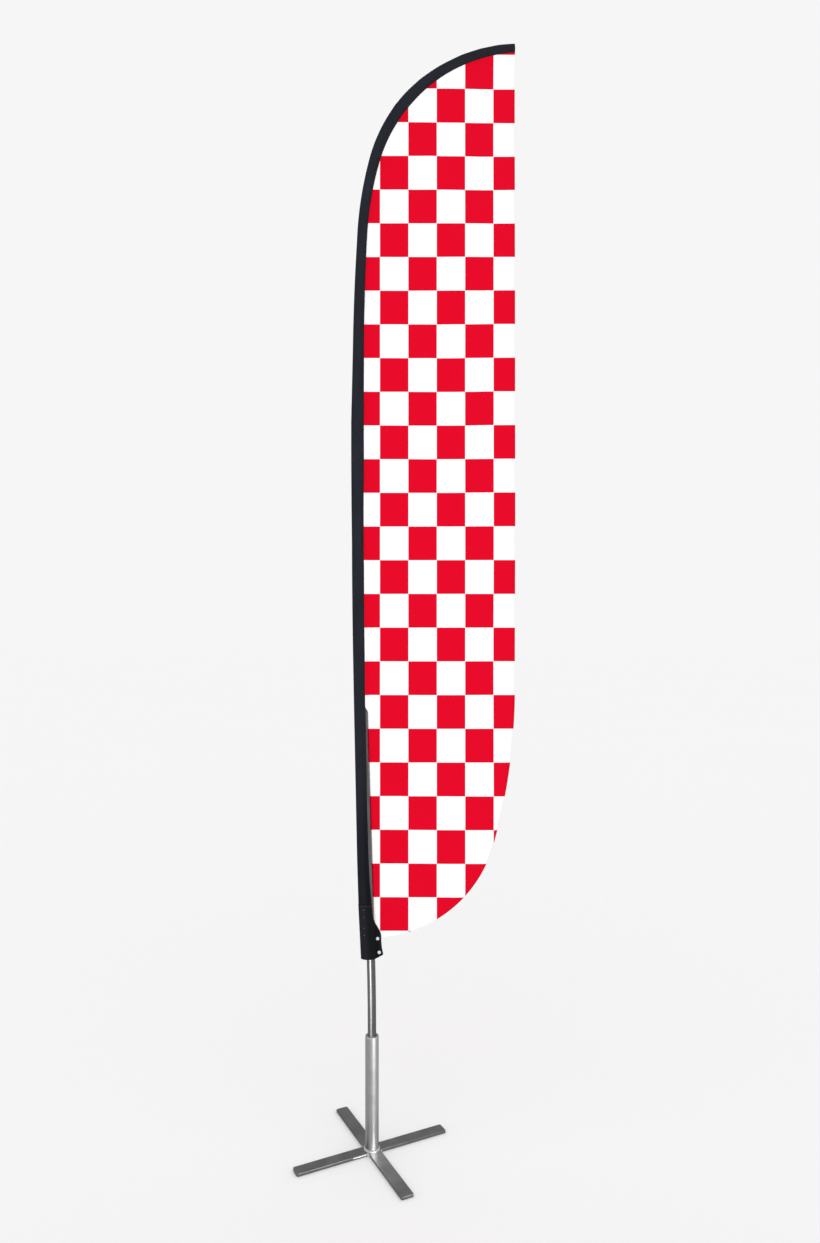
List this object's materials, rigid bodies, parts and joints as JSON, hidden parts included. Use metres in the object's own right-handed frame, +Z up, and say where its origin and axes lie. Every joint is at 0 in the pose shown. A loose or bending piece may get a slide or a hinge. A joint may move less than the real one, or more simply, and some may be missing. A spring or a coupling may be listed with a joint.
{
  "type": "feather flag with pole",
  "caption": "Tall feather flag of checked cloth on a curved sectional pole whose foot turns in the socket tube of a welded cross base.",
  "frame": {"origin": "on the floor, where the socket tube's axis meets the underside of the cross base", "axes": "+X from the pole towards the flag's free edge, +Y to the back, +Z up along the socket tube; the flag hangs in the XZ plane"},
  "size_m": [0.8216, 0.5632, 4.1723],
  "materials": {
    "base_steel": "satin, dark mill finish with eased edges",
    "tube_steel": "satin",
    "weld_metal": "bright rippled weld bead",
    "washer_steel": "ground",
    "nylon": "moulded",
    "pole_aluminium": "drawn, clear anodised",
    "collar_aluminium": "turned",
    "fibreglass": "pultruded, fine lengthwise grain",
    "cap_rubber": "moulded",
    "sleeve_fabric": "plain-weave polyester",
    "cuff_fabric": "doubled plain-weave polyester with stitched edges",
    "webbing": "ribbed webbing",
    "flag_fabric": "knitted polyester, dyed in red and white checks",
    "snap_metal": "polished nickel",
    "rivet_metal": "blackened"
  },
  "bodies": {
    "base": {"cross_bar": "base_steel", "left_arm": "base_steel", "right_arm": "base_steel", "cross_welds": "weld_metal", "seam_weld_bead": "weld_metal", "socket_tube": "tube_steel", "socket_foot_weld": "weld_metal", "socket_collar": "tube_steel", "upper_bushing": "nylon", "thrust_washer": "washer_steel"},
    "swivel": {"swivel_cup": "nylon"},
    "lower_pole": {"lower_pole_tube": "pole_aluminium", "pole_foot_plug": "nylon"},
    "middle_pole": {"middle_pole_tube": "pole_aluminium", "middle_stop_collar": "collar_aluminium"},
    "flag": {"tip_ferrule": "collar_aluminium", "tip_stop_collar": "collar_aluminium", "tip_rod": "fibreglass", "tip_cap": "cap_rubber", "pole_sleeve": "sleeve_fabric", "tip_pocket": "webbing", "flag_panel": "flag_fabric", "cuff_back": "cuff_fabric", "snap_studs": "snap_metal", "snap_posts": "snap_metal"},
    "cuff_flap": {"cuff_flap": "cuff_fabric", "snap_caps": "snap_metal", "snap_sockets": "snap_metal", "cuff_rivets": "rivet_metal"}
  },
  "joints": [
    {"name": "pole_spin", "type": "hinge", "parent": "base", "child": "swivel", "pos_m": [0, 0, 0.012], "axis": [0, 0, 1], "continuous": true},
    {"name": "pole_lift", "type": "slide", "parent": "swivel", "child": "lower_pole", "axis": [0, 0, 1], "range_m": [0, 0.42]},
    {"name": "middle_section_pull", "type": "slide", "parent": "lower_pole", "child": "middle_pole", "axis": [-0.0305, 0, 0.9995], "range_m": [0, 0.12]},
    {"name": "tip_section_pull", "type": "slide", "parent": "middle_pole", "child": "flag", "axis": [0.0026, 0, 1], "range_m": [0, 0.12]},
    {"name": "cuff_flap_open", "type": "hinge", "parent": "flag", "child": "cuff_flap", "pos_m": [-0.04607, 0, 0.82827], "axis": [0.0493, 0, -0.9988], "range_deg": [0, 100]}
  ]
}
